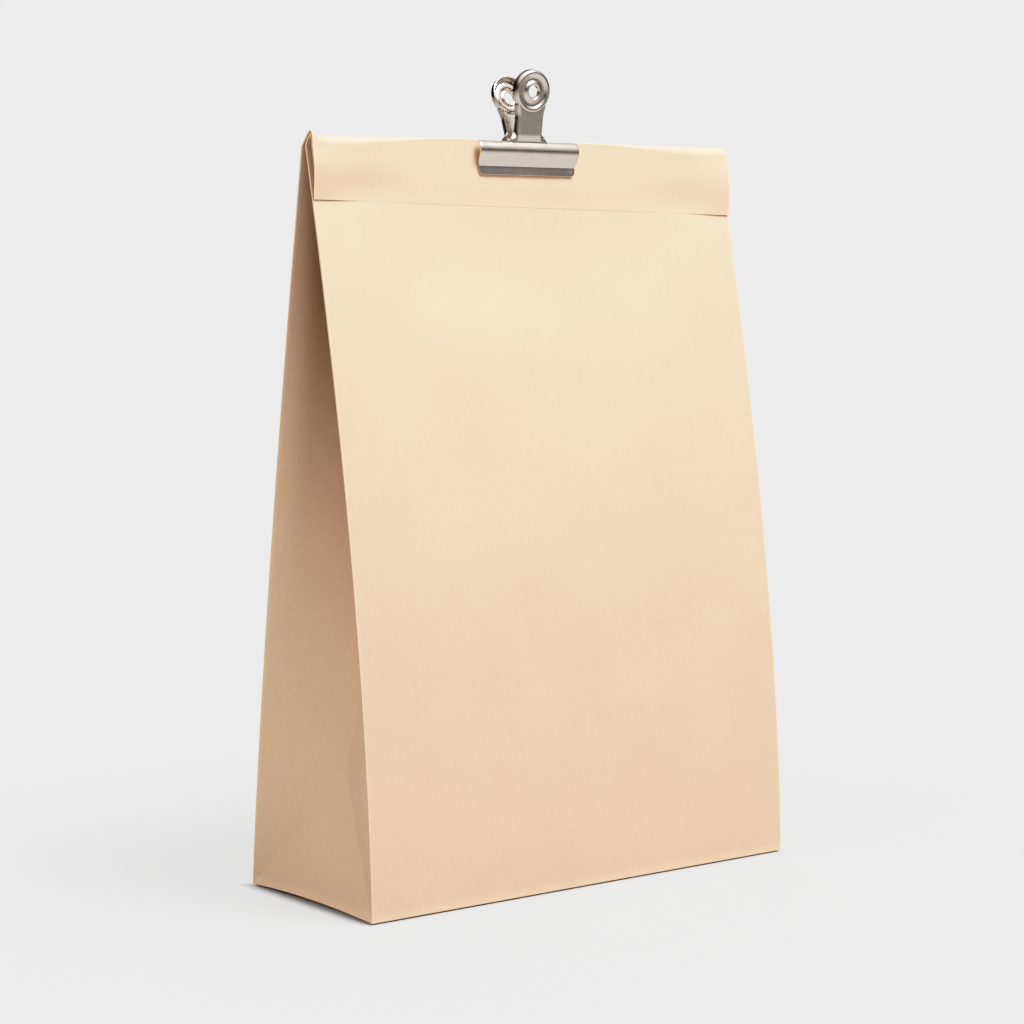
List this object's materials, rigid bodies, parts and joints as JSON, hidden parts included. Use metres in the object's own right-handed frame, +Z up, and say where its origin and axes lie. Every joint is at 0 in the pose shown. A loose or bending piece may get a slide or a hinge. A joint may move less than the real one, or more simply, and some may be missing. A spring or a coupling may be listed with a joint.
{
  "type": "folded paper food bag with a sprung clip",
  "caption": "Block-bottom side-gusset paper bag of dry pet food, its top folded over to the front and held shut by a sprung steel clip.",
  "frame": {"origin": "middle of the bag's base, on the surface it stands on", "axes": "+Z up, -Y towards the front panel with the folded flap, X along the bag's width"},
  "size_m": [0.26, 0.1034, 0.4021],
  "materials": {
    "kraft_paper": "plain unbleached kraft, matt, with fine fibre mottling",
    "plated_steel": "bright nickel plating on pressed sheet steel",
    "spring_steel": "plain drawn wire"
  },
  "bodies": {
    "bag": {"paper_bag": "kraft_paper", "pivot_pin": "plated_steel", "torsion_spring": "spring_steel"},
    "front_jaw": {"front_jaw": "plated_steel"},
    "rear_jaw": {"rear_jaw": "plated_steel"}
  },
  "joints": [
    {"name": "front_jaw_hinge", "type": "hinge", "parent": "bag", "child": "front_jaw", "pos_m": [-0.0018, -0.002, 0.362], "axis": [-1, 0, 0], "range_deg": [0, 11], "stiffness_Nm_per_rad": 0.1, "springref_deg": -34.38, "deforming": ["torsion_spring"]},
    {"name": "rear_jaw_hinge", "type": "hinge", "parent": "bag", "child": "rear_jaw", "pos_m": [-0.0018, -0.002, 0.362], "axis": [1, 0, 0], "range_deg": [0, 11], "stiffness_Nm_per_rad": 0.1, "springref_deg": -34.38}
  ],
  "couplings": [
    {"joint": "rear_jaw_hinge", "follows": "front_jaw_hinge", "ratio": 1}
  ]
}
